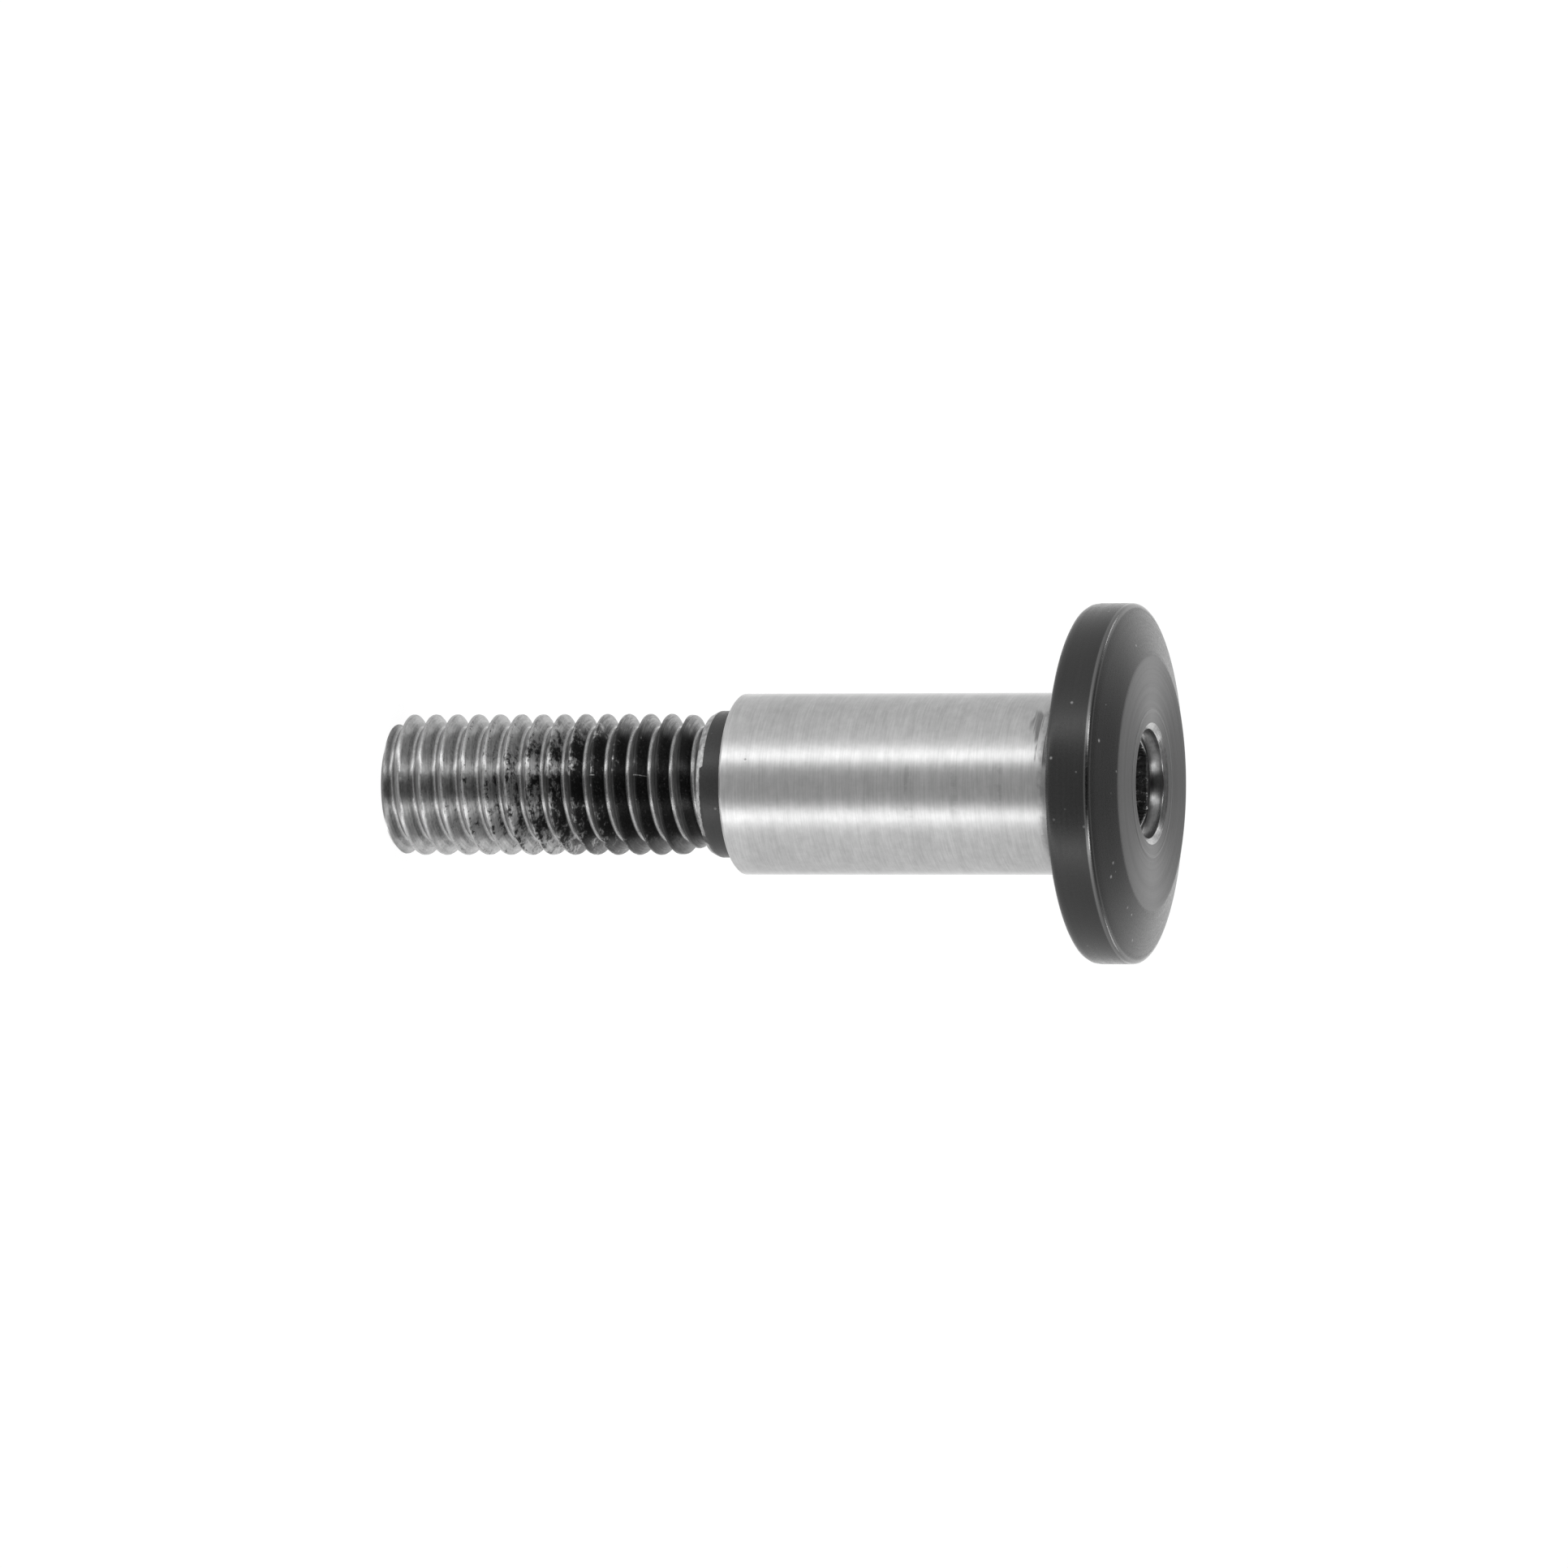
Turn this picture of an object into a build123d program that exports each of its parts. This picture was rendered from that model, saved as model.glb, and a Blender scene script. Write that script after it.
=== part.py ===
"""Shoulder bolt: one turned piece with a threaded end, a short neck, a ground shoulder and a wide low head.

The bolt stands on its threaded end. The origin is the centre of the end face and +Z runs to the head.
All sizes are in millimetres.
"""
import math
import os

from build123d import *

# Metric coarse thread M8, right-hand, in the lower part of its tolerance, on a blank a little smaller still
THREAD_FORM_D = 7.88        # where the crests of the full vee form would have their flats
PITCH = 1.25
CREST_D = 7.82
ROOT_DEPTH = 0.765          # from the form diameter to the flat of the root, on the radius
FLANK_ANGLE = 30.0          # of each flank, from the plane across the axis
FIRST_CREST_Z = 0.225       # height of the lowest crest on the +X side
CUTTER_CLEARANCE = 0.06     # how far the cutter stands out of the form diameter

# Blank of the threaded end: a chamfered tip, then crests that lose a little height near the neck
END_FACE_D = 7.0
END_CHAMFER = 0.42
TAPER_START_Z = 15.9
TAPER_END_Z = 17.15
TAPER_END_D = 7.68

# Relief groove in which the thread runs out, and the neck behind it with its bevelled edge
RELIEF_D = 6.6
RELIEF_START_Z = 17.85
RELIEF_END_Z = 18.2
NECK_EDGE_D = 7.74
NECK_EDGE_Z = 18.4
NECK_D = 8.12
NECK_START_Z = 18.8

# Ground shoulder
SHOULDER_D = 10.0
SHOULDER_LENGTH = 20.0
SHOULDER_START_Z = 20.0
SHOULDER_CHAMFER = 0.15

# Head: an upright rim, a shallow bevel and a flat face; each round reaches this far from its corner
HEAD_D = 19.8
RIM_HEIGHT = 2.5
BEVEL_HEIGHT = 0.9
FACE_D = 14.0
UNDERSIDE_ROUND = 0.55
UNDERSIDE_FLATS = 3
RIM_ROUND = 0.19
RIM_FLATS = 2

# Socket: a countersink, a round lead-in, a hexagon and the drilled point below it
COUNTERSINK_D = 6.68
COUNTERSINK_DEPTH = 0.2
LEAD_IN_D = 6.0
LEAD_IN_DEPTH = 0.95
HEX_ACROSS_FLATS = 5.0
HEX_FLOOR_DEPTH = 4.4
DRILL_D = 4.9
DRILL_POINT_DEPTH = 1.3

THREAD_ROOT_RADIUS = THREAD_FORM_D / 2 - ROOT_DEPTH
HEAD_BACK_Z = SHOULDER_START_Z + SHOULDER_LENGTH
RIM_TOP_Z = HEAD_BACK_Z + RIM_HEIGHT
FACE_Z = RIM_TOP_Z + BEVEL_HEIGHT


def turned(*outline):
    """Solid of revolution about Z of a closed outline through points of the XZ plane."""
    return revolve(make_face(Polyline(*outline, close=True)), Axis.Z)


def eased(start, corner, end, flats):
    """Points of a rounded corner, turned as a few flats so that the mesh stays light."""
    curve = Bezier(start, corner, end)
    return [curve @ (step / flats) for step in range(flats + 1)]


def groove_turn(middle_z):
    """One turn of the vee groove, rising one pitch from its middle at middle_z on the +X side."""
    slope = math.tan(math.radians(FLANK_ANGLE))
    form_half = PITCH * 7 / 16
    root_half = form_half - ROOT_DEPTH * slope
    outer_half = form_half + CUTTER_CLEARANCE * slope
    outer_radius = THREAD_FORM_D / 2 + CUTTER_CLEARANCE
    section = Polyline(
        (THREAD_ROOT_RADIUS, 0, middle_z - root_half),
        (outer_radius, 0, middle_z - outer_half),
        (outer_radius, 0, middle_z + outer_half),
        (THREAD_ROOT_RADIUS, 0, middle_z + root_half),
        close=True,
    )
    path = Helix(PITCH, PITCH, THREAD_ROOT_RADIUS, center=(0, 0, middle_z))
    return sweep(make_face(section), path=path, is_frenet=True)


def threaded_end():
    """The turned blank up to the far side of the relief groove, with the thread cut turn by turn."""
    end = turned(
        (0, 0, 0),
        (END_FACE_D / 2, 0, 0),
        (CREST_D / 2, 0, END_CHAMFER),
        (CREST_D / 2, 0, TAPER_START_Z),
        (TAPER_END_D / 2, 0, TAPER_END_Z),
        (RELIEF_D / 2, 0, RELIEF_START_Z),
        (RELIEF_D / 2, 0, RELIEF_END_Z),
        (0, 0, RELIEF_END_Z),
    )
    middle_z = FIRST_CREST_Z - PITCH * 1.5
    while middle_z < RELIEF_END_Z:
        end -= groove_turn(middle_z)
        middle_z += PITCH
    return end


def neck_and_shoulder():
    """The short plain neck with its bevelled edge, and the ground shoulder up to the head."""
    return turned(
        (0, 0, RELIEF_END_Z),
        (RELIEF_D / 2, 0, RELIEF_END_Z),
        (NECK_EDGE_D / 2, 0, NECK_EDGE_Z),
        (NECK_D / 2, 0, NECK_START_Z),
        (NECK_D / 2, 0, SHOULDER_START_Z),
        (SHOULDER_D / 2 - SHOULDER_CHAMFER, 0, SHOULDER_START_Z),
        (SHOULDER_D / 2, 0, SHOULDER_START_Z + SHOULDER_CHAMFER),
        (SHOULDER_D / 2, 0, HEAD_BACK_Z),
        (0, 0, HEAD_BACK_Z),
    )


def head():
    """The head with its rounded edges, before the socket is made."""
    radius = HEAD_D / 2
    bevel = Vector(FACE_D / 2 - radius, 0, BEVEL_HEIGHT).normalized()
    rim_corner = Vector(radius, 0, RIM_TOP_Z)
    underside_edge = eased(
        (radius - UNDERSIDE_ROUND, 0, HEAD_BACK_Z),
        (radius, 0, HEAD_BACK_Z),
        (radius, 0, HEAD_BACK_Z + UNDERSIDE_ROUND),
        UNDERSIDE_FLATS,
    )
    rim_edge = eased(
        (radius, 0, RIM_TOP_Z - RIM_ROUND),
        rim_corner,
        rim_corner + bevel * RIM_ROUND,
        RIM_FLATS,
    )
    return turned(
        (0, 0, HEAD_BACK_Z),
        *underside_edge,
        *rim_edge,
        (FACE_D / 2, 0, FACE_Z),
        (0, 0, FACE_Z),
    )


def socket():
    """What the countersink, the lead-in, the hexagonal broach and the drill take out of the head."""
    lead_in_z = FACE_Z - LEAD_IN_DEPTH
    hex_floor_z = FACE_Z - HEX_FLOOR_DEPTH
    lead_in = turned(
        (0, 0, FACE_Z),
        (COUNTERSINK_D / 2, 0, FACE_Z),
        (LEAD_IN_D / 2, 0, FACE_Z - COUNTERSINK_DEPTH),
        (LEAD_IN_D / 2, 0, lead_in_z),
        (0, 0, lead_in_z),
    )
    hexagon = RegularPolygon(HEX_ACROSS_FLATS / 2, 6, major_radius=False)
    broached = extrude(Plane.XY.offset(hex_floor_z) * hexagon, lead_in_z - hex_floor_z)
    drill_point = turned(
        (0, 0, hex_floor_z),
        (DRILL_D / 2, 0, hex_floor_z),
        (0, 0, hex_floor_z - DRILL_POINT_DEPTH),
    )
    return lead_in + broached + drill_point


bolt = threaded_end() + neck_and_shoulder() + head() - socket()

os.makedirs("parts", exist_ok=True)
export_step(bolt, "parts/shoulder_bolt.step")
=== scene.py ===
"""Looks of the shoulder bolt: one finely meshed body in place of the CAD node, its finishes and light.

The frame is the CAD's, in metres: the bolt stands on its threaded end at the origin, and +Z runs to the head.
Sizes below are in millimetres, as in the part's source, and MM turns them into metres.
"""
import bisect
import math

import bpy
from mathutils import Matrix, Vector, noise


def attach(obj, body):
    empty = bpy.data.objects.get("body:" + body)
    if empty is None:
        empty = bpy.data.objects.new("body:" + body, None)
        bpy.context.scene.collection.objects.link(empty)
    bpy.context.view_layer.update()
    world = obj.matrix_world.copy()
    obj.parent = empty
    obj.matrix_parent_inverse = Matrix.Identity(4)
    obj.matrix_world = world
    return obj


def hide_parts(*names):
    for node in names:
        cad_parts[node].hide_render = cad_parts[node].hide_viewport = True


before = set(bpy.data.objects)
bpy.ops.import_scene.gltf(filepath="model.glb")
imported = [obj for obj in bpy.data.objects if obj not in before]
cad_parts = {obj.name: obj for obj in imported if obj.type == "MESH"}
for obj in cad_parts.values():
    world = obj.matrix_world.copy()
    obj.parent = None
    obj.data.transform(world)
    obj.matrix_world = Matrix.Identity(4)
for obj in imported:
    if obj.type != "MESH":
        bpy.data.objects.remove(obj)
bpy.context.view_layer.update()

MM = 0.001
NODE = "shoulder_bolt"

# Driving sizes, as in the part's source. The thread has the same flanks, with its crests and roots rounded.
PITCH = 1.25
FORM_R = 3.94
CREST_R = 3.91
ROOT_R = 3.175
FLANK = math.radians(30.0)
FIRST_CREST_Z = 0.225
TAPER_START_Z = 15.9
RELIEF_START_Z, RELIEF_END_Z = 17.85, 18.2
RELIEF_R = 3.3
NECK_EDGE_R, NECK_EDGE_Z = 3.87, 18.4
NECK_R, NECK_Z = 4.06, 18.8
SHOULDER_R, SHOULDER_Z = 5.0, 20.0
SHOULDER_CHAMFER = 0.15
HEAD_R = 9.9
HEAD_Z, RIM_TOP_Z, FACE_Z = 40.0, 42.5, 43.4
FACE_R = 7.0
COUNTERSINK_R, COUNTERSINK_Z = 3.34, 43.2
LEAD_IN_R, LEAD_IN_Z = 3.0, 42.45
HEX_INRADIUS = 2.5
HEX_FLOOR_Z = 39.0
DRILL_TIP_Z = 37.7
# Drilled point below the hexagon's floor, as (radius, height)
DRILL_POINT = ((2.45, HEX_FLOOR_Z), (1.6, HEX_FLOOR_Z - 0.45), (0.8, HEX_FLOOR_Z - 0.87))

# The turned blank of the threaded end before the thread is cut, as (height, radius)
BLANK = (
    (0.0, 3.46), (0.05, 3.54), (0.4, 3.88), (0.5, CREST_R), (TAPER_START_Z, CREST_R),
    (17.15, 3.84), (RELIEF_START_Z, RELIEF_R), (RELIEF_END_Z, RELIEF_R),
)

# Mesh density: columns round the axis (a multiple of 12: the hexagon's corners fall on columns), steps of a
# round, steps down the hexagon's wall, the longest band of the turned outline, the radii on the end face
COLUMNS = 228
ROUND_STEPS = 4
WALL_STEPS = 24
LONGEST_BAND = 0.9
END_FACE_RINGS = (3.1, 2.4, 1.6, 0.8, 0.3)
# The thread's rows begin so many pitches below the first crest, and run on at least as far past the groove
SPARE_PITCHES = 2
# A row of the thread this close to one of its ends falls on that end's ring
SNAP = 0.004

# Finishes, in the order of the piece's material slots
THREAD, NECK, BARE, GROUND, HEAD, FACE, SOCKET, BORE, COUNTERSINK = range(9)


# ---------------------------------------------------------------- thread

def blank_radius(z):
    """Radius of the turned blank of the threaded end at height z."""
    for (low_z, low_r), (high_z, high_r) in zip(BLANK, BLANK[1:]):
        if z <= high_z:
            share = (z - low_z) / (high_z - low_z)
            return low_r + (high_r - low_r) * max(share, 0.0)
    return RELIEF_R


def thread_rows():
    """(height within one pitch, radius) of the thread's section, from one crest's middle to the next."""
    vee_top = FORM_R + PITCH / 16 / math.tan(FLANK)
    vee_bottom = FORM_R - PITCH * 7 / 16 / math.tan(FLANK)
    crest_round = vee_top - CREST_R
    root_round = ROOT_R - vee_bottom
    steep = math.pi / 2 - FLANK
    slopes = [steep * step / ROUND_STEPS for step in range(ROUND_STEPS + 1)]
    crest = [(crest_round * math.sin(slope), CREST_R - crest_round * (1 - math.cos(slope)))
             for slope in slopes]
    root = [(PITCH / 2 - root_round * math.sin(slope), ROOT_R + root_round * (1 - math.cos(slope)))
            for slope in reversed(slopes)]
    flank_middle = ((crest[-1][0] + root[0][0]) / 2, (crest[-1][1] + root[0][1]) / 2)
    lower_half = crest + [flank_middle] + root
    return lower_half + [(PITCH - offset, radius) for offset, radius in reversed(lower_half[1:-1])]


def wobble(x, y, z, size, seed):
    """Smooth noise between about -1 and 1 at a place in millimetres, for features of the given size."""
    return noise.noise(Vector((x / size + seed, y / size, z / size)))


def thread_point(column, row, rows):
    """Angle, height and radius of one mesh point of the thread; its rows run along the helix."""
    turn = column / COLUMNS
    angle = math.tau * turn
    pitch_number, place = divmod(row, len(rows))
    offset, radius = rows[place]
    z = FIRST_CREST_Z - SPARE_PITCHES * PITCH + (pitch_number + turn) * PITCH + offset
    x, y = math.cos(angle), math.sin(angle)
    depth = (CREST_R - radius) / (CREST_R - ROOT_R)
    # the crests are a little uneven, the roots are not
    rough = 0.014 * wobble(x * 4, y * 4, z, 0.6, 3.1) * (1 - depth)
    rough += 0.01 * wobble(x * 4, y * 4, z, 0.2, 8.7) * (1 - depth)
    return angle, z, min(radius + rough, blank_radius(z), CREST_R)


# ---------------------------------------------------------------- turned outline

def outline():
    """(radius, height, reach of the round, finish of the band that ends here), groove to lead-in."""
    return [
        (RELIEF_R, RELIEF_END_Z + 0.01, 0, THREAD),
        (NECK_EDGE_R, NECK_EDGE_Z, 0.03, THREAD),
        (NECK_R, NECK_Z, 0.06, BARE),
        (NECK_R, SHOULDER_Z, 0.05, NECK),
        (SHOULDER_R - SHOULDER_CHAMFER, SHOULDER_Z, 0.03, NECK),
        (SHOULDER_R, SHOULDER_Z + SHOULDER_CHAMFER, 0.05, GROUND),
        (SHOULDER_R, HEAD_Z, 0.03, GROUND),
        (HEAD_R, HEAD_Z, 0.62, HEAD),
        (HEAD_R, RIM_TOP_Z, 0.2, HEAD),
        (FACE_R, FACE_Z, 0.12, HEAD),
        (COUNTERSINK_R, FACE_Z, 0.03, FACE),
        (LEAD_IN_R, COUNTERSINK_Z, 0.04, COUNTERSINK),
        (LEAD_IN_R, LEAD_IN_Z, 0.03, BORE),
    ]


def rounded(corners):
    """Outline rows (radius, height, finish) with each corner rounded over its reach."""
    rows = [(corners[0][0], corners[0][1], corners[0][3])]
    for before, corner, after in zip(corners, corners[1:], corners[2:]):
        middle = Vector(corner[:2])
        reach = corner[2]
        start = middle + (Vector(before[:2]) - middle).normalized() * reach
        end = middle + (Vector(after[:2]) - middle).normalized() * reach
        for step in range(ROUND_STEPS + 1):
            share = step / ROUND_STEPS
            place = start * (1 - share) ** 2 + middle * 2 * share * (1 - share) + end * share ** 2
            finish = corner[3] if step <= ROUND_STEPS // 2 else after[3]
            rows.append((place[0], place[1], finish))
    rows.append((corners[-1][0], corners[-1][1], corners[-1][3]))
    return rows


def filled(rows):
    """The same outline with its long bands cut into shorter ones."""
    out = [rows[0]]
    for previous, row in zip(rows, rows[1:]):
        span = math.dist(previous[:2], row[:2])
        pieces = max(1, math.ceil(span / LONGEST_BAND))
        for piece in range(1, pieces + 1):
            share = piece / pieces
            out.append((
                previous[0] + (row[0] - previous[0]) * share,
                previous[1] + (row[1] - previous[1]) * share,
                row[2],
            ))
    return out


def hex_radius(column):
    """Distance from the axis to the hexagon's side at a column; two flats face +Y and -Y."""
    angle = math.tau * column / COLUMNS
    from_flat = (angle % (math.pi / 3)) - math.pi / 6
    return HEX_INRADIUS / math.cos(from_flat)


# ---------------------------------------------------------------- body mesh

def build_body():
    """The whole bolt as one closed mesh, with its finishes as material slots."""
    verts, faces, finishes = [], [], []

    def add(angle, radius, z):
        """Adds a point and gives its number."""
        verts.append((radius * math.cos(angle) * MM, radius * math.sin(angle) * MM, z * MM))
        return len(verts) - 1

    def add_face(corners, finish):
        """Adds a face, without corners that fall together."""
        unique = []
        for index in corners:
            if index not in unique:
                unique.append(index)
        if len(unique) >= 3:
            faces.append(unique)
            finishes.append(finish)

    # threaded end: helical rows, each column clamped to the end face and to the relief groove
    rows = thread_rows()
    per_turn = len(rows)
    total = per_turn * (SPARE_PITCHES + math.ceil(RELIEF_END_Z / PITCH) + SPARE_PITCHES)
    bottom, top, grid = [], [], []
    for column in range(COLUMNS):
        points = [thread_point(column, row, rows) for row in range(total)]
        angle = points[0][0]
        heights = [point[1] for point in points]
        radii = [point[2] for point in points]

        def radius_at(z):
            """Radius of this column's thread at a height, for the rings that close its ends."""
            index = min(max(bisect.bisect(heights, z), 1), total - 1)
            share = (z - heights[index - 1]) / (heights[index] - heights[index - 1])
            raw = radii[index - 1] + (radii[index] - radii[index - 1]) * share
            return min(raw, blank_radius(z))

        bottom.append(add(angle, radius_at(0.0), 0.0))
        top.append(add(angle, radius_at(RELIEF_END_Z), RELIEF_END_Z))
        ids = []
        for _, z, radius in points:
            if z <= SNAP:
                ids.append(bottom[-1])
            elif z >= RELIEF_END_Z - SNAP:
                ids.append(top[-1])
            else:
                ids.append(add(angle, radius, z))
        grid.append(ids)
    for column in range(COLUMNS):
        here, following = grid[column], grid[(column + 1) % COLUMNS]
        # after a full turn the helix has climbed one pitch: the last column meets the first a pitch higher
        shift = per_turn if column == COLUMNS - 1 else 0
        for row in range(total - 1):
            right = min(row + shift, total - 1)
            right_up = min(row + 1 + shift, total - 1)
            add_face((here[row], following[right], following[right_up], here[row + 1]), THREAD)
        for row in range(shift):
            add_face((here[0], following[row], following[row + 1]), THREAD)

    def ring(radius_of, z):
        """A point on each column at a height."""
        return [add(math.tau * column / COLUMNS, radius_of(column), z) for column in range(COLUMNS)]

    def join(low, high, finish):
        """A band of faces between two rings."""
        for column in range(COLUMNS):
            after = (column + 1) % COLUMNS
            add_face((low[column], low[after], high[after], high[column]), finish)

    # end face, ring by ring to its middle
    inner = bottom
    for radius in END_FACE_RINGS:
        smaller = ring(lambda column: radius, 0.0)
        join(smaller, inner, THREAD)
        inner = smaller
    centre = add(0, 0, 0)
    for column in range(COLUMNS):
        add_face((inner[(column + 1) % COLUMNS], inner[column], centre), THREAD)

    # neck, shoulder, head, countersink and lead-in
    last = top
    for radius, z, finish in filled(rounded(outline())):
        current = ring(lambda column: radius, z)
        join(last, current, finish)
        last = current

    # ledge, hexagon, floor and drilled point
    for share in (0.5, 1.0):
        current = ring(lambda column: LEAD_IN_R + (hex_radius(column) - LEAD_IN_R) * share, LEAD_IN_Z)
        join(last, current, BORE)
        last = current
    for step in range(1, WALL_STEPS + 1):
        z = LEAD_IN_Z + (HEX_FLOOR_Z - LEAD_IN_Z) * step / WALL_STEPS
        current = ring(lambda column: hex_radius(column) + tear(column, z), z)
        join(last, current, SOCKET)
        last = current
    for radius, z in DRILL_POINT:
        current = ring(lambda column: radius, z)
        join(last, current, SOCKET)
        last = current
    tip = add(0, 0, DRILL_TIP_Z)
    for column in range(COLUMNS):
        add_face((last[column], last[(column + 1) % COLUMNS], tip), SOCKET)

    mesh = bpy.data.meshes.new("bolt_body")
    mesh.from_pydata(verts, [], faces)
    mesh.polygons.foreach_set("material_index", finishes)
    mesh.validate()
    mesh.update()
    return mesh


def tear(column, z):
    """How far the broach tore the hexagon's wall, outwards, at a column and height."""
    angle = math.tau * column / COLUMNS
    x, y = 3 * math.cos(angle), 3 * math.sin(angle)
    return 0.05 * abs(wobble(x, y, z * 0.4, 0.35, 5.5)) + 0.03 * abs(wobble(x, y, z, 0.15, 2.5))


# ---------------------------------------------------------------- shader helpers

class Nodes:
    """Short calls for the nodes that the finishes and the surroundings share."""

    def __init__(self, tree):
        self.tree = tree

    def put(self, socket, value):
        """Links a socket to a socket, or sets a plain value on it."""
        if isinstance(value, bpy.types.NodeSocket):
            self.tree.links.new(value, socket)
        else:
            socket.default_value = value

    def vector(self, operation, first, second=None, scale=None):
        node = self.tree.nodes.new("ShaderNodeVectorMath")
        node.operation = operation
        self.put(node.inputs[0], first)
        if second is not None:
            self.put(node.inputs[1], second)
        if scale is not None:
            self.put(node.inputs["Scale"], scale)
        return node.outputs["Value" if operation == "LENGTH" else "Vector"]

    def math(self, operation, first, second=0.5):
        node = self.tree.nodes.new("ShaderNodeMath")
        node.operation = operation
        self.put(node.inputs[0], first)
        self.put(node.inputs[1], second)
        return node.outputs[0]

    def product(self, *values):
        result = values[0]
        for value in values[1:]:
            result = self.math("MULTIPLY", result, value)
        return result

    def total(self, *values):
        result = values[0]
        for value in values[1:]:
            result = self.math("ADD", result, value)
        return result

    def axes(self, vector):
        node = self.tree.nodes.new("ShaderNodeSeparateXYZ")
        self.put(node.inputs[0], vector)
        return node.outputs

    def joined(self, x, y, z):
        node = self.tree.nodes.new("ShaderNodeCombineXYZ")
        for socket, value in zip(node.inputs, (x, y, z)):
            self.put(socket, value)
        return node.outputs[0]

    def noise(self, vector, scale, detail=3.0, roughness=0.6):
        """Noise with so many features per unit, and detail finer layers, each weaker by the roughness."""
        node = self.tree.nodes.new("ShaderNodeTexNoise")
        self.put(node.inputs["Vector"], vector)
        node.inputs["Scale"].default_value = scale
        node.inputs["Detail"].default_value = detail
        node.inputs["Roughness"].default_value = roughness
        return node.outputs["Fac"]

    def span(self, value, low, high, to_low=0.0, to_high=1.0):
        """Maps a value smoothly from low..high to to_low..to_high, and holds it beyond."""
        node = self.tree.nodes.new("ShaderNodeMapRange")
        node.interpolation_type = "SMOOTHSTEP"
        self.put(node.inputs["Value"], value)
        self.put(node.inputs["From Min"], low)
        self.put(node.inputs["From Max"], high)
        self.put(node.inputs["To Min"], to_low)
        self.put(node.inputs["To Max"], to_high)
        return node.outputs["Result"]

    def vary(self, pattern, to_low, to_high):
        """Maps a noise, which seldom leaves 0.3..0.7, to to_low..to_high."""
        return self.span(pattern, 0.3, 0.7, to_low, to_high)

    def near(self, value, middle, half_width, edge):
        """1 within half_width of the middle, fading to 0 over the edge beyond."""
        away = self.math("ABSOLUTE", self.math("SUBTRACT", value, middle))
        return self.span(away, half_width, half_width + edge, 1.0, 0.0)

    def mix(self, share, first, second):
        """The first value at a share of 0, the second at 1."""
        node = self.tree.nodes.new("ShaderNodeMix")
        node.data_type = "FLOAT"
        self.put(node.inputs[0], share)
        self.put(node.inputs[2], first)
        self.put(node.inputs[3], second)
        return node.outputs[0]

    def specks(self, vector, cell, reach, share):
        """Small round marks in this share of the cells, fading out at this reach, in millimetres."""
        node = self.tree.nodes.new("ShaderNodeTexVoronoi")
        self.put(node.inputs["Vector"], vector)
        node.inputs["Scale"].default_value = 1 / cell
        chance = self.axes(node.outputs["Color"])[0]
        chosen = self.math("LESS_THAN", chance, share)
        size = self.span(self.axes(node.outputs["Color"])[1], 0.0, 1.0, reach * 0.4 / cell, reach / cell)
        return self.product(self.span(node.outputs["Distance"], 0.0, size, 1.0, 0.0), chosen)


class Finish(Nodes):
    """A material of the bolt, in millimetres: round is the distance from the axis, z the height."""

    def __init__(self, name):
        self.material = bpy.data.materials.new(name)
        self.material.use_nodes = True
        super().__init__(self.material.node_tree)
        self.tree.nodes.clear()
        output = self.tree.nodes.new("ShaderNodeOutputMaterial")
        self.shader = self.tree.nodes.new("ShaderNodeBsdfPrincipled")
        self.tree.links.new(self.shader.outputs[0], output.inputs[0])
        coordinates = self.tree.nodes.new("ShaderNodeTexCoord")
        self.place = self.vector("SCALE", coordinates.outputs["Object"], scale=1 / MM)
        self.x, self.y, self.z = self.axes(self.place)
        self.round = self.vector("LENGTH", self.joined(self.x, self.y, 0.0))

    def angle(self):
        """Degrees around the axis from the side that faces the camera, growing towards +X."""
        turn = self.math("ARCTAN2", self.x, self.math("MULTIPLY", self.y, -1.0))
        return self.math("DEGREES", turn)

    def lathe(self, across, along):
        """Coordinates for marks that run round the axis: slow around it, quick along the turned outline."""
        outward = self.vector("NORMALIZE", self.joined(self.x, self.y, 0.0))
        outward_x, outward_y, _ = self.axes(self.vector("SCALE", outward, scale=across))
        outline_place = self.math("SUBTRACT", self.z, self.math("MULTIPLY", self.round, 1.2))
        return self.joined(outward_x, outward_y, self.math("MULTIPLY", outline_place, along))

    def brushed(self, amount):
        """Spreads the gloss across marks that run round the axis."""
        circling = self.joined(self.math("MULTIPLY", self.y, -1.0), self.x, 0.0)
        self.put(self.shader.inputs["Tangent"], circling)
        self.shader.inputs["Anisotropic"].default_value = amount
        self.shader.inputs["Anisotropic Rotation"].default_value = 0.25

    def finish(self, tone, roughness, metallic, height, depth, specular=0.5):
        """Connects the finish. Tone is a neutral grey, and a bump of height 1 is depth millimetres high."""
        self.put(self.shader.inputs["Base Color"], self.joined(tone, tone, tone))
        self.put(self.shader.inputs["Roughness"], roughness)
        self.put(self.shader.inputs["Metallic"], metallic)
        self.shader.inputs["Specular IOR Level"].default_value = specular
        bump = self.tree.nodes.new("ShaderNodeBump")
        bump.inputs["Strength"].default_value = 1.0
        bump.inputs["Distance"].default_value = depth * MM
        self.put(bump.inputs["Height"], height)
        self.tree.links.new(bump.outputs[0], self.shader.inputs["Normal"])
        return self.material


# ---------------------------------------------------------------- finishes

# Tones: ground steel, worn steel, the black finish and the head's flat
BRIGHT_STEEL = 0.47
WORN_STEEL = 0.44
BLACKENED = 0.004
FACE_TONE = 0.035

# Two fine scratches on the black thread, as (height, half length), and their angle from the camera's side
SCRATCHES = ((15.1, 0.3), (12.35, 0.15))
SCRATCH_ANGLE = -7.8

# Faint smears across the shoulder, as (height, strength), and a small dent near the neck
SMEARS = ((30.9, 1.0), (33.5, 0.8), (36.0, 0.9))
DENT_ANGLE, DENT_Z = -15.5, 21.55


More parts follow.
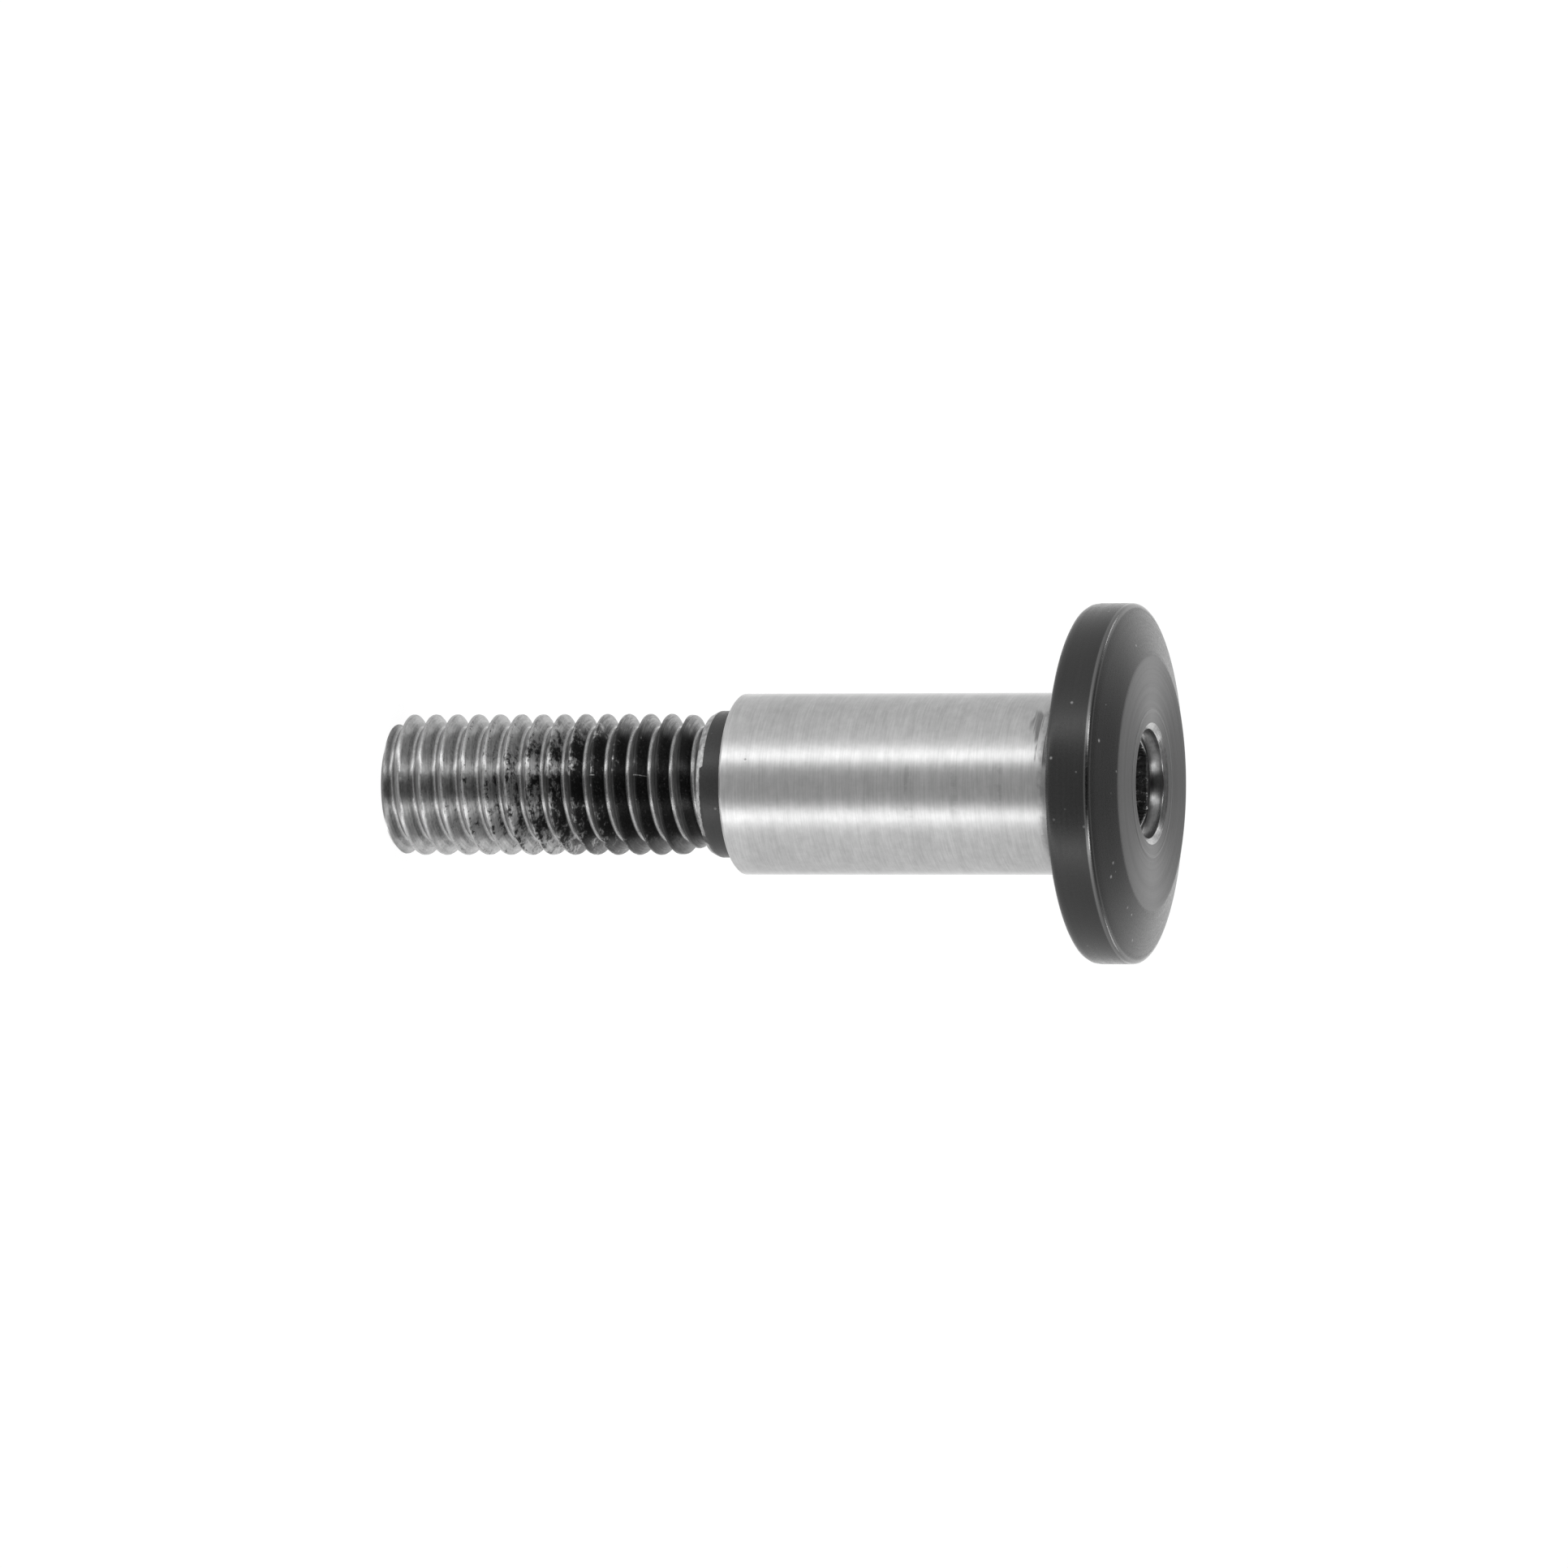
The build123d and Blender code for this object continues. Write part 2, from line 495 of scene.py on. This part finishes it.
def thread_steel():
    """Bright worn steel at the tip, mottled in the middle and blackened towards the neck."""
    f = Finish("thread_steel")
    turns = f.math("SUBTRACT", f.math("DIVIDE", f.math("SUBTRACT", f.z, FIRST_CREST_Z), PITCH),
                   f.math("DIVIDE", f.math("ARCTAN2", f.y, f.x), math.tau))
    # 0 on a crest's middle, 0.5 on a root's; the tip's side of each ridge is the later half of a turn
    from_crest = f.math("PINGPONG", turns, 0.5)
    tip_side = f.span(f.math("FRACT", turns), 0.49, 0.53)
    along = f.joined(f.math("MULTIPLY", f.x, 0.5), f.math("MULTIPLY", f.y, 0.5),
                     f.total(f.z, f.product(from_crest, 14.0)))
    streaks = f.noise(along, 1.6, 4.0, 0.7)
    fine = f.noise(f.place, 4.5, 4.0, 0.7)
    patches = f.noise(f.vector("MULTIPLY", f.place, (0.8, 0.8, 1.6)), 1.5, 4.0, 0.65)
    angle = f.angle()
    # how far the black finish has come off: all at the tip, none at the neck, in ragged patches between
    worn_line = f.total(f.z, f.product(f.math("SUBTRACT", patches, 0.5), 20.0),
                        f.product(f.math("SUBTRACT", fine, 0.5), 12.0), f.product(tip_side, -1.5),
                        f.product(f.near(angle, -90.0, 28.0, 37.0), -3.0),
                        f.product(f.near(angle, 90.0, 30.0, 20.0), -2.0),
                        f.product(f.near(angle, 3.0, 7.0, 7.0), 1.2),
                        f.product(f.near(angle, -16.0, 4.0, 6.0), -1.2))
    bare = f.span(worn_line, 5.2, 10.7, 1.0, 0.0)
    nicks = f.product(f.near(from_crest, 0.1, 0.025, 0.03), f.span(fine, 0.53, 0.6),
                      f.span(f.z, 2.0, 6.0, 0.3, 0.9))
    bare = f.product(bare, f.math("SUBTRACT", 1.0, nicks))
    root = f.span(from_crest, 0.38, 0.44)
    bright_marks = f.math("MAXIMUM", f.product(root, f.span(streaks, 0.35, 0.65, 0.75, 1.0)),
                    f.product(tip_side, f.span(from_crest, 0.08, 0.42, 0.08, 0.55),
                              f.span(streaks, 0.35, 0.65, 0.6, 1.2)))
    side_wear = f.math("MAXIMUM", f.product(f.near(angle, -90.0, 16.0, 32.0), 0.7),
                       f.product(f.near(angle, 90.0, 12.0, 28.0), 0.25))
    bright_marks = f.math("MAXIMUM", bright_marks, f.product(side_wear, f.span(streaks, 0.35, 0.65, 0.7, 1.2)))
    bright_marks = f.math("MAXIMUM", bright_marks, f.specks(f.place, 0.8, 0.07, 0.3))
    bright_marks = f.math("MAXIMUM", bright_marks, f.span(f.noise(f.place, 7.0, 3.0, 0.7), 0.54, 0.75, 0.0, 0.1))
    for height, half_length in SCRATCHES:
        scratch = f.product(f.near(f.z, height, half_length, 0.05), f.near(angle, SCRATCH_ANGLE, 0.2, 0.4))
        bright_marks = f.math("MAXIMUM", bright_marks, f.product(scratch, f.span(fine, 0.4, 0.55, 0.3, 0.8)))
    bare = f.math("MAXIMUM", bare, bright_marks)
    # painted shade: a darker line on the flank beside each rubbed root, where the flank runs into the groove
    groove_shade = f.product(f.near(from_crest, 0.33, 0.03, 0.05), f.span(fine, 0.35, 0.6))
    # the steel's tone takes the painted groove shade
    steel = f.product(WORN_STEEL, f.vary(streaks, 0.7, 1.1), f.vary(fine, 0.82, 1.1),
                      f.span(groove_shade, 0.0, 1.0, 1.0, 0.6),
                      f.span(f.z, 0.2, 1.0, 0.85, 1.0),
                      f.span(f.near(angle, 90.0, 18.0, 24.0), 0.0, 1.0, 1.0, 1.2))
    tone = f.mix(bare, BLACKENED, steel)
    polished = f.math("MAXIMUM", f.span(from_crest, 0.04, 0.1, 1.0, 0.0), root)
    roughness = f.mix(bare, f.vary(fine, 0.25, 0.4),
                      f.total(f.vary(streaks, 0.4, 0.46), f.product(polished, -0.16)))
    f.brushed(0.95)
    height = f.total(f.product(streaks, 0.5), f.product(fine, 0.5))
    return f.finish(tone, roughness, bare, height, 0.014, specular=0.2)


def black_oxide(name, tone, grain_depth, specular, roughness):
    """A turned part with the black finish: faint rings from the lathe, a fine grain and a few pale specks."""
    f = Finish(name)
    rings = f.noise(f.lathe(0.8, 6.0), 1.0, 3.0, 0.7)
    grain = f.noise(f.place, 7.0, 3.0, 0.6)
    cloud = f.noise(f.place, 0.35, 2.0, 0.5)
    speck = f.math("MAXIMUM", f.specks(f.place, 0.95, 0.14, 0.6),
                   f.product(f.specks(f.place, 0.7, 0.05, 0.1), 0.5))
    dark = f.product(tone, f.vary(rings, 0.8, 1.2), f.vary(grain, 0.8, 1.25),
                     f.span(cloud, 0.35, 0.65, 0.85, 1.15))
    shade = f.mix(speck, dark, 0.36)
    # the rim's upper corner has lost its grain and shines
    corner = f.product(f.span(f.round, HEAD_R - 0.32, HEAD_R - 0.18), f.near(f.z, RIM_TOP_Z, 0.16, 0.1))
    gloss = f.total(roughness, f.vary(grain, -0.04, 0.05), f.vary(rings, -0.03, 0.03),
                    f.product(corner, -0.08))
    f.brushed(0.4)
    height = f.total(f.product(rings, 0.5), f.product(grain, 0.5), f.product(speck, 0.5))
    height = f.product(height, f.span(corner, 0.0, 1.0, 1.0, 0.3))
    shade = f.mix(corner, shade, 0.14)
    return f.finish(shade, gloss, corner, height, grain_depth, specular)


def face_oxide():
    """The head's flat: blackened over open turning rings, with one raised ring round the socket, half metal,
    whose lighter tone is a painted highlight.
    """
    f = Finish("face_oxide")
    rings = f.noise(f.lathe(0.35, 7.0), 1.0, 3.0, 0.75)
    wide_rings = f.noise(f.lathe(0.3, 1.6), 1.0, 2.0, 0.6)
    grain = f.noise(f.place, 6.0, 3.0, 0.6)
    # a turned ring round the socket, raised in the bump and half metal; its lighter tone below is a painted
    # highlight
    bright_marks = f.product(f.near(f.round, 4.0, 0.04, 0.08), f.span(rings, 0.35, 0.6, 0.4, 1.0))
    speck = f.specks(f.place, 2.0, 0.14, 0.25)
    tone = f.product(FACE_TONE, f.vary(rings, 0.5, 1.6), f.vary(wide_rings, 0.8, 1.25),
                     f.vary(grain, 0.9, 1.1))
    # the ring's lighter tone is a painted highlight
    shade = f.mix(f.math("MAXIMUM", f.product(bright_marks, 0.25), speck), tone, 0.3)
    f.brushed(0.8)
    height = f.total(f.product(rings, 0.7), f.product(grain, 0.2), f.product(wide_rings, 0.3),
                     f.product(bright_marks, 2.0))
    return f.finish(shade, f.vary(rings, 0.3, 0.42), f.product(bright_marks, 0.5), height, 0.01, specular=0.5)


def ground_steel():
    """The shoulder, ground between centres: marks round it, faint smears, a rougher strip at the head."""
    f = Finish("ground_steel")
    brushing = f.noise(f.lathe(2.2, 11.0), 1.0, 4.0, 0.75)
    broad = f.noise(f.lathe(1.1, 1.7), 1.0, 3.0, 0.6)
    mottle = f.noise(f.place, 1.8, 4.0, 0.65)
    fine = f.noise(f.place, 8.0, 3.0, 0.6)
    angle = f.angle()
    # a little paler next to the neck
    neck_end = f.span(f.z, 20.2, 22.5, 1.07, 1.0)
    smear = 0.0
    for height, strength in SMEARS:
        smear = f.total(smear, f.product(f.near(f.z, height, 0.12, 0.3), strength))
    smear = f.product(smear, f.span(mottle, 0.4, 0.6), f.near(angle, 5.0, 12.0, 12.0))
    # where the wheel did not reach, next to the head
    wander = f.product(f.math("SUBTRACT", mottle, 0.5), 1.2)
    strip = f.span(f.total(f.z, wander), 38.1, 38.7)
    # dark residue by the head, in strokes that run round the shoulder
    strokes = f.span(f.noise(f.lathe(0.55, 5.0), 1.0, 2.0, 0.5), 0.36, 0.52)
    drift = f.total(f.z, f.product(f.math("SUBTRACT", f.noise(f.place, 0.7, 1.0, 0.5), 0.5), 1.2))
    residue = f.math("MAXIMUM", f.product(f.near(drift, 38.5, 0.22, 0.15), f.near(angle, -30.0, 14.0, 9.0)),
                     f.product(f.near(drift, 38.0, 0.12, 0.25), f.near(angle, -40.0, 9.0, 8.0), 0.7))
    residue = f.product(residue, strokes)
    # a small round dent near the neck, from the distance to its middle in millimetres
    one_degree = SHOULDER_R * math.pi / 180
    across = f.product(f.math("SUBTRACT", angle, DENT_ANGLE), one_degree)
    from_dent = f.vector("LENGTH", f.joined(across, f.math("SUBTRACT", f.z, DENT_Z), 0.0))
    nick = f.span(from_dent, 0.02, 0.1, 1.0, 0.0)
    tone = f.product(BRIGHT_STEEL, neck_end, f.span(brushing, 0.25, 0.75, 0.86, 1.1),
                     f.vary(broad, 0.95, 1.05), f.vary(mottle, 0.94, 1.05),
                     f.span(smear, 0.0, 1.0, 1.0, 0.8), f.span(strip, 0.0, 1.0, 1.0, 0.8),
                     f.span(residue, 0.0, 1.0, 1.0, 0.35), f.span(nick, 0.0, 1.0, 1.0, 0.65))
    roughness = f.total(f.span(brushing, 0.25, 0.75, 0.31, 0.38), f.product(strip, 0.2),
                        f.product(mottle, 0.03))
    f.brushed(0.85)
    height = f.total(f.product(brushing, 0.7), f.product(fine, f.span(strip, 0.0, 1.0, 0.15, 1.2)),
                     f.product(residue, 0.6), f.product(nick, -1.0))
    return f.finish(tone, roughness, f.span(residue, 0.0, 1.0, 1.0, 0.6), height, 0.005)


def bare_band():
    """The neck's bevelled edge, scraped bare: broad and ragged on one side, thin and clean on the other."""
    f = Finish("bare_band")
    mottle = f.noise(f.place, 3.2, 4.0, 0.7)
    streaks = f.noise(f.lathe(1.5, 8.0), 1.0, 3.0, 0.7)
    angle = f.angle()
    ragged = f.near(f.total(angle, f.product(f.math("SUBTRACT", mottle, 0.5), 20.0)), -77.0, 60.0, 5.0)
    reach = f.mix(ragged, 18.62, 18.9)
    edge = f.total(f.z, f.product(f.math("SUBTRACT", mottle, 0.5), f.span(ragged, 0.0, 1.0, 0.3, 1.1)))
    bare = f.span(f.math("SUBTRACT", edge, reach), -0.04, 0.04, 1.0, 0.0)
    notch = f.near(angle, 51.0, 3.0, 3.0)
    bare = f.product(bare, f.math("SUBTRACT", 1.0, notch))
    steel = f.product(WORN_STEEL, f.vary(mottle, 0.5, 1.2), f.vary(streaks, 0.8, 1.15))
    f.brushed(0.5)
    return f.finish(f.mix(bare, BLACKENED * 3, steel), f.vary(mottle, 0.35, 0.55), bare,
                    f.total(f.product(mottle, 0.7), f.product(streaks, 0.3)), 0.03)


def socket_steel():
    """The broached hexagon and its floor: dark, torn in the broach's direction, with small bright chips."""
    f = Finish("socket_steel")
    pulled = f.noise(f.vector("MULTIPLY", f.place, (5.0, 5.0, 1.2)), 1.0, 4.0, 0.7)
    fine = f.noise(f.place, 7.0, 3.0, 0.65)
    chip = f.span(f.noise(f.place, 3.4, 3.0, 0.7), 0.58, 0.64)
    depth = f.span(f.z, 40.5, 42.45, 0.25, 1.0)
    bare = f.product(chip, depth)
    tone = f.mix(bare, f.product(0.06, f.vary(pulled, 0.3, 1.5)), 0.6)
    return f.finish(tone, f.vary(fine, 0.25, 0.5), f.span(bare, 0.0, 1.0, 0.6, 1.0),
                    f.total(f.product(pulled, 0.6), f.product(fine, 0.4)), 0.06)


def bore_steel(name, tone, roughness):
    """Turned steel of the countersink and the lead-in."""
    f = Finish(name)
    rings = f.noise(f.lathe(0.6, 9.0), 1.0, 3.0, 0.7)
    mottle = f.noise(f.place, 3.0, 3.0, 0.6)
    shade = f.product(tone, f.vary(rings, 0.8, 1.1), f.vary(mottle, 0.8, 1.1))
    f.brushed(0.7)
    return f.finish(shade, f.total(roughness, f.vary(rings, -0.04, 0.06)), 1.0, rings, 0.008)


def make_finishes():
    """The finishes in the order of the piece's material slots."""
    return [
        thread_steel(),
        black_oxide("neck_oxide", tone=0.02, grain_depth=0.02, specular=0.5, roughness=0.4),
        bare_band(),
        ground_steel(),
        black_oxide("head_oxide", tone=0.008, grain_depth=0.006, specular=0.45, roughness=0.3),
        face_oxide(),
        socket_steel(),
        bore_steel("bore_steel", tone=0.2, roughness=0.3),
        bore_steel("countersink_steel", tone=0.4, roughness=0.25),
    ]


# ---------------------------------------------------------------- light, floor and camera

# How bright the studio's walls are at each azimuth, in degrees from the camera's side, and the level that the
# ramp's 1 stands for: dim towards the camera, then a tall soft box on each side, and pale all round
STUDIO_TOP = 3.0
STUDIO = (
    (-180, 1.1), (-168, 1.2), (-158, 1.2), (-146, 0.85), (-110, 0.8), (-62, 0.97), (-49, 1.3), (-44, 1.75),
    (-38.5, 2.65), (-33, 2.35), (-27, 1.05), (-21, 0.74), (-14, 0.64), (16, 0.58), (24, 0.6), (30, 1.0),
    (36, 1.95), (43, 2.65), (49, 1.7), (55, 1.35), (66, 1.07), (100, 0.97), (146, 0.85), (158, 1.2),
    (168, 1.2), (180, 1.1),
)
# The walls' share of that straight overhead and above the camera, and the brightness of the table close by
STUDIO_OVERHEAD = 0.15
STUDIO_ABOVE_CAMERA = 0.1
STUDIO_TABLE = 1.0

# How bright the world and the floor are for the camera and for matt surfaces, the grey that lets the floor
# take a shadow, and how far the floor reaches from the bolt, in metres
WORLD_SEEN, WORLD_LIGHT = 1.0, 0.6
FLOOR_SEEN, FLOOR_LIGHT = 0.93, 0.5
FLOOR_GREY = 0.12
FLOOR_REACH = 3.0

# Soft lamps, as (name, azimuth, elevation, width, height, power), all at one distance, in metres
LAMP_DISTANCE = 0.6
LAMPS = (
    ("lamp_upper", -39, 46, 0.1, 0.24, 0.45),
    ("lamp_lower", 42.5, 46, 0.1, 0.24, 0.42),
    ("lamp_upper_back", -136, 36, 0.1, 0.2, 0.2),
    ("lamp_lower_back", 136, 36, 0.1, 0.2, 0.2),
)


def studio_group():
    """Node group: the brightness of the studio in a direction."""
    group = bpy.data.node_groups.new("studio_brightness", "ShaderNodeTree")
    group.interface.new_socket("Direction", in_out="INPUT", socket_type="NodeSocketVector")
    group.interface.new_socket("Brightness", in_out="OUTPUT", socket_type="NodeSocketFloat")
    nodes = Nodes(group)
    entry = group.nodes.new("NodeGroupInput")
    leave = group.nodes.new("NodeGroupOutput")
    x, y, z = nodes.axes(nodes.vector("NORMALIZE", entry.outputs[0]))
    azimuth = nodes.math("ARCTAN2", x, nodes.math("MULTIPLY", y, -1.0))
    ramp = group.nodes.new("ShaderNodeValToRGB")
    elements = ramp.color_ramp.elements
    while len(elements) < len(STUDIO):
        elements.new(0.5)
    for element, (degrees, brightness) in zip(elements, STUDIO):
        element.position = degrees / 360 + 0.5
        element.color = (brightness / STUDIO_TOP,) * 3 + (1.0,)
    group.links.new(nodes.total(nodes.math("DIVIDE", azimuth, math.tau), 0.5), ramp.inputs[0])
    above_camera = nodes.product(nodes.near(azimuth, 0.0, 0.3, 0.25), nodes.span(z, 0.0, 0.3))
    walls = nodes.product(ramp.outputs[0], STUDIO_TOP, nodes.span(z, 0.2, 1.02, 1.0, STUDIO_OVERHEAD),
                          nodes.span(above_camera, 0.0, 1.0, 1.0, STUDIO_ABOVE_CAMERA))
    group.links.new(nodes.mix(nodes.span(z, -0.35, -0.75), walls, STUDIO_TABLE), leave.inputs[0])
    return group


def seen_strength(tree, direction, seen, light):
    """One level for the camera, the studio's walls for glossy and transmitted rays, another for the rest."""
    nodes = Nodes(tree)
    path = tree.nodes.new("ShaderNodeLightPath")
    studio = tree.nodes.new("ShaderNodeGroup")
    studio.node_tree = bpy.data.node_groups["studio_brightness"]
    tree.links.new(direction, studio.inputs[0])
    gloss = nodes.math("MAXIMUM", path.outputs["Is Glossy Ray"], path.outputs["Is Transmission Ray"])
    return nodes.mix(path.outputs["Is Camera Ray"], nodes.mix(gloss, light, studio.outputs[0]), seen)


def make_world():
    """The plain white studio round the bolt."""
    world = bpy.data.worlds.new("studio")
    bpy.context.scene.world = world
    world.use_nodes = True
    tree = world.node_tree
    background = tree.nodes["Background"]
    background.inputs["Color"].default_value = (1, 1, 1, 1)
    coordinates = tree.nodes.new("ShaderNodeTexCoord")
    strength = seen_strength(tree, coordinates.outputs["Generated"], WORLD_SEEN, WORLD_LIGHT)
    tree.links.new(strength, background.inputs["Strength"])


def make_floor():
    """A wide floor that looks white, with a grey share that takes the bolt's shadow."""
    mesh = bpy.data.meshes.new("floor")
    corners = [(x * FLOOR_REACH, y * FLOOR_REACH, 0) for x, y in ((-1, -1), (1, -1), (1, 1), (-1, 1))]
    mesh.from_pydata(corners, [], [(0, 1, 2, 3)])
    floor = bpy.data.objects.new("floor", mesh)
    bpy.context.scene.collection.objects.link(floor)
    material = bpy.data.materials.new("floor_white")
    material.use_nodes = True
    tree = material.node_tree
    tree.nodes.clear()
    output = tree.nodes.new("ShaderNodeOutputMaterial")
    both = tree.nodes.new("ShaderNodeAddShader")
    diffuse = tree.nodes.new("ShaderNodeBsdfDiffuse")
    diffuse.inputs["Color"].default_value = (FLOOR_GREY, FLOOR_GREY, FLOOR_GREY, 1)
    glow = tree.nodes.new("ShaderNodeEmission")
    coordinates = tree.nodes.new("ShaderNodeTexCoord")
    strength = seen_strength(tree, coordinates.outputs["Object"], FLOOR_SEEN, FLOOR_LIGHT)
    tree.links.new(strength, glow.inputs["Strength"])
    tree.links.new(diffuse.outputs[0], both.inputs[0])
    tree.links.new(glow.outputs[0], both.inputs[1])
    tree.links.new(both.outputs[0], output.inputs[0])
    mesh.materials.append(material)


def soft_lamp(name, azimuth, elevation, width, height, power):
    """A tall soft lamp turned to the bolt; its azimuth is from the camera's side, in degrees."""
    data = bpy.data.lights.new(name, "AREA")
    data.shape = "RECTANGLE"
    data.size = width
    data.size_y = height
    data.energy = power
    lamp = bpy.data.objects.new(name, data)
    bpy.context.scene.collection.objects.link(lamp)
    turn, rise = math.radians(azimuth - 90), math.radians(elevation)
    towards_lamp = Vector((math.cos(turn) * math.cos(rise), math.sin(turn) * math.cos(rise), math.sin(rise)))
    lamp.location = towards_lamp * LAMP_DISTANCE
    lamp.rotation_euler = (-towards_lamp).to_track_quat("-Z", "Y").to_euler()


def make_camera():
    """The view of the picture: nearly square to the axis, from a little above, with +Z to the right."""
    # radians and millimetres; the tilt is the camera's height above square
    tilt = 0.2966
    distance = 809.6
    pixels_per_mm = 22.315
    picture_width = 1932
    sensor = 36.0
    right = Vector((0, math.sin(tilt), math.cos(tilt)))
    up = Vector((-1, 0, 0))
    back = Vector((0, -math.cos(tilt), math.sin(tilt)))
    aim = Vector((0, 0, 22.0)) + right * 0.292 + up * 0.008
    roll = 0.0013
    turned_right = right * math.cos(roll) - up * math.sin(roll)
    turned_up = right * math.sin(roll) + up * math.cos(roll)
    data = bpy.data.cameras.new("camera")
    data.sensor_width = sensor
    data.lens = pixels_per_mm * distance / picture_width * sensor
    data.clip_start = 0.05
    data.clip_end = 20
    camera = bpy.data.objects.new("camera", data)
    bpy.context.scene.collection.objects.link(camera)
    axes = Matrix((turned_right, turned_up, back)).transposed()
    camera.matrix_world = Matrix.Translation((aim + back * distance) * MM) @ axes.to_4x4()
    bpy.context.scene.camera = camera


# ---------------------------------------------------------------- scene

body = bpy.data.objects.new("bolt_body", build_body())
bpy.context.scene.collection.objects.link(body)
for finish_material in make_finishes():
    body.data.materials.append(finish_material)
for polygon in body.data.polygons:
    polygon.use_smooth = True
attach(body, "root")
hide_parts(NODE)

studio_group()
make_world()
make_floor()
make_camera()
for lamp_settings in LAMPS:
    soft_lamp(*lamp_settings)
bpy.context.scene.view_settings.view_transform = "Standard"
